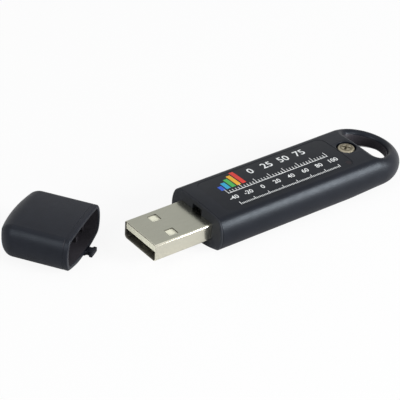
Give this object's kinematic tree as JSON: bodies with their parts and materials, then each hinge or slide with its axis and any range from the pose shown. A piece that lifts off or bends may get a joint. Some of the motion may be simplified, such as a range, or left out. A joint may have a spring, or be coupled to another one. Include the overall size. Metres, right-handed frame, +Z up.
{
  "type": "temperature data logger",
  "caption": "Stick-shaped temperature logger with a metal plug in front, a label and screw on top, a keyring loop behind and a push-on cap lying beside the plug.",
  "frame": {"origin": "middle of the flat strip that the case rests on", "axes": "+X along the case from the plug to the keyring loop, +Z up out of the label, +Y to the side where the cap lies"},
  "size_m": [0.1007, 0.0359, 0.0096],
  "materials": {
    "case_plastic": "fine moulded texture, near black",
    "label_film": "smooth printed film",
    "light_window": "smoked window",
    "screw_steel": "plain steel, slightly yellow",
    "brass": "turned",
    "plug_metal": "nickel-plated sheet",
    "tongue_plastic": "cream, smooth",
    "contact_metal": "gold-plated",
    "board_laminate": "green varnish",
    "chip_resin": "moulded resin",
    "can_metal": "plain",
    "sensor_resin": "dipped",
    "red_lens": "clear tinted",
    "green_lens": "clear tinted",
    "resistor_body": "glazed",
    "capacitor_body": "ceramic",
    "cell_metal": "plain steel",
    "strip_metal": "spring strip"
  },
  "bodies": {
    "logger": {"case_sleeve": "case_plastic", "chassis": "case_plastic", "label": "label_film", "light_pipe": "light_window", "case_screw": "screw_steel", "threaded_insert": "brass", "usb_shell": "plug_metal", "usb_tongue": "tongue_plastic", "usb_contacts": "contact_metal", "circuit_board": "board_laminate", "microcontroller": "chip_resin", "memory_chip": "chip_resin", "voltage_regulator": "chip_resin", "surge_diode": "chip_resin", "crystal": "can_metal", "thermistor": "sensor_resin", "red_led": "red_lens", "green_led": "green_lens", "resistors": "resistor_body", "capacitors": "capacitor_body", "coin_cell": "cell_metal", "battery_clip": "strip_metal", "battery_contact": "strip_metal"},
    "cap": {"cap_shell": "case_plastic"}
  },
  "joints": [
    {"name": "cap_pull", "type": "slide", "parent": "logger", "child": "cap", "axis": [-0.5446, 0.8387, 0], "range_m": [0, 0.03]}
  ]
}
